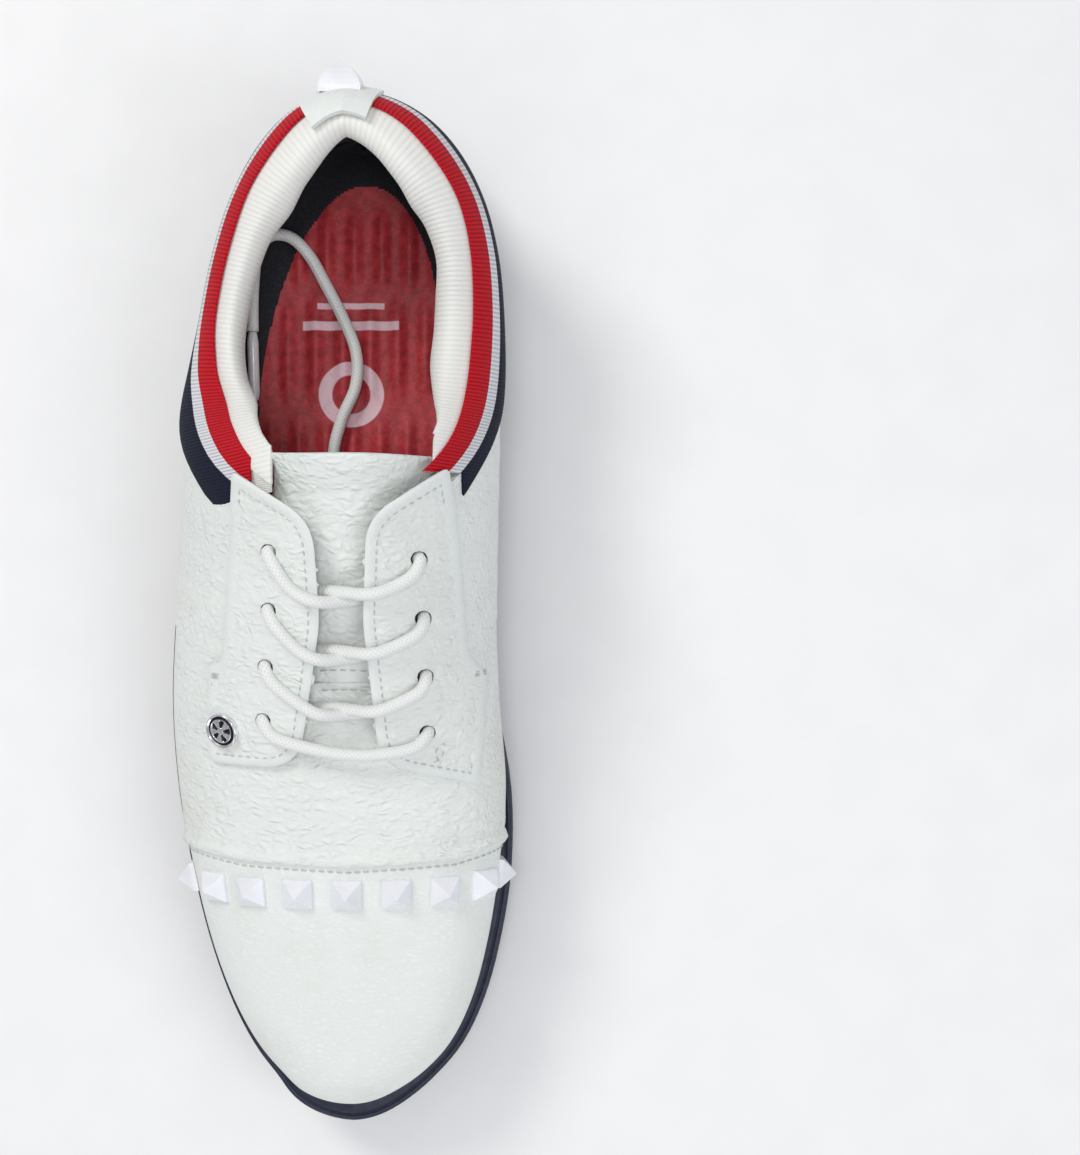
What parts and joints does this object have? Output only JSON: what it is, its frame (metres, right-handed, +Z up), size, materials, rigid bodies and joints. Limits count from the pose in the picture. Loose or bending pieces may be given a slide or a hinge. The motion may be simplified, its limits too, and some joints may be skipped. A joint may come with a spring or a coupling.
{
  "type": "golf shoe",
  "caption": "Low lace-up golf shoe with padded collar, striped ribbon trim, studded toe cap, riveted facing, hinged tongue and a lugged rubber sole.",
  "frame": {"origin": "middle of the shoe's footprint, on the ground", "axes": "+Z up, the toe points to -Y and the heel to +Y, +X is the inner side of this right shoe"},
  "size_m": [0.0956, 0.278, 0.0884],
  "materials": {
    "white_leather": "pebbled, satin",
    "white_laces": "flat weave",
    "clear_tips": "clear film over white",
    "striped_ribbon": "ribbed grosgrain in red, white and navy",
    "white_knit": "fine ribbed knit",
    "navy_lining": "matt mesh",
    "white_studs": "satin",
    "stiffener": "matt",
    "foam": "open-cell foam",
    "blackened_metal": "blackened",
    "navy_rubber": "matt",
    "navy_midsole": "satin",
    "steel": "plain",
    "fibre_board": "pressed fibre",
    "red_fabric": "brushed"
  },
  "bodies": {
    "shoe": {"toe_cap": "white_leather", "vamp": "white_leather", "quarter_lateral": "white_leather", "quarter_medial": "white_leather", "facing_lateral": "white_leather", "facing_medial": "white_leather", "lace": "white_laces", "vamp_lining": "navy_lining", "quarter_lining_lateral": "navy_lining", "quarter_lining_medial": "navy_lining", "toe_puff": "stiffener", "heel_counter": "stiffener", "collar_ribbon": "striped_ribbon", "collar_padding": "foam", "collar_lining": "white_knit", "heel_tab": "white_leather", "toe_stud_1": "white_studs", "toe_stud_2": "white_studs", "toe_stud_3": "white_studs", "toe_stud_4": "white_studs", "toe_stud_5": "white_studs", "toe_stud_6": "white_studs", "toe_stud_7": "white_studs", "toe_stud_8": "white_studs", "toe_stud_9": "white_studs", "heel_stud": "white_studs", "rivet_cap": "blackened_metal", "rivet_post": "blackened_metal", "outsole": "navy_rubber", "midsole": "navy_midsole", "shank": "steel", "insole_board": "fibre_board", "footbed_foam": "foam", "footbed_cover": "red_fabric", "welt": "navy_midsole", "lace_tail_lateral": "white_laces", "lace_tail_medial": "white_laces", "aglet_lateral": "clear_tips", "aglet_medial": "clear_tips"},
    "tongue": {"tongue_cover": "white_leather", "tongue_foam": "foam", "tongue_lining": "white_knit"}
  },
  "joints": [
    {"name": "tongue_hinge", "type": "hinge", "parent": "shoe", "child": "tongue", "pos_m": [0.0062, -0.0229, 0.053], "axis": [1, 0, 0], "range_deg": [-10, 0]}
  ]
}
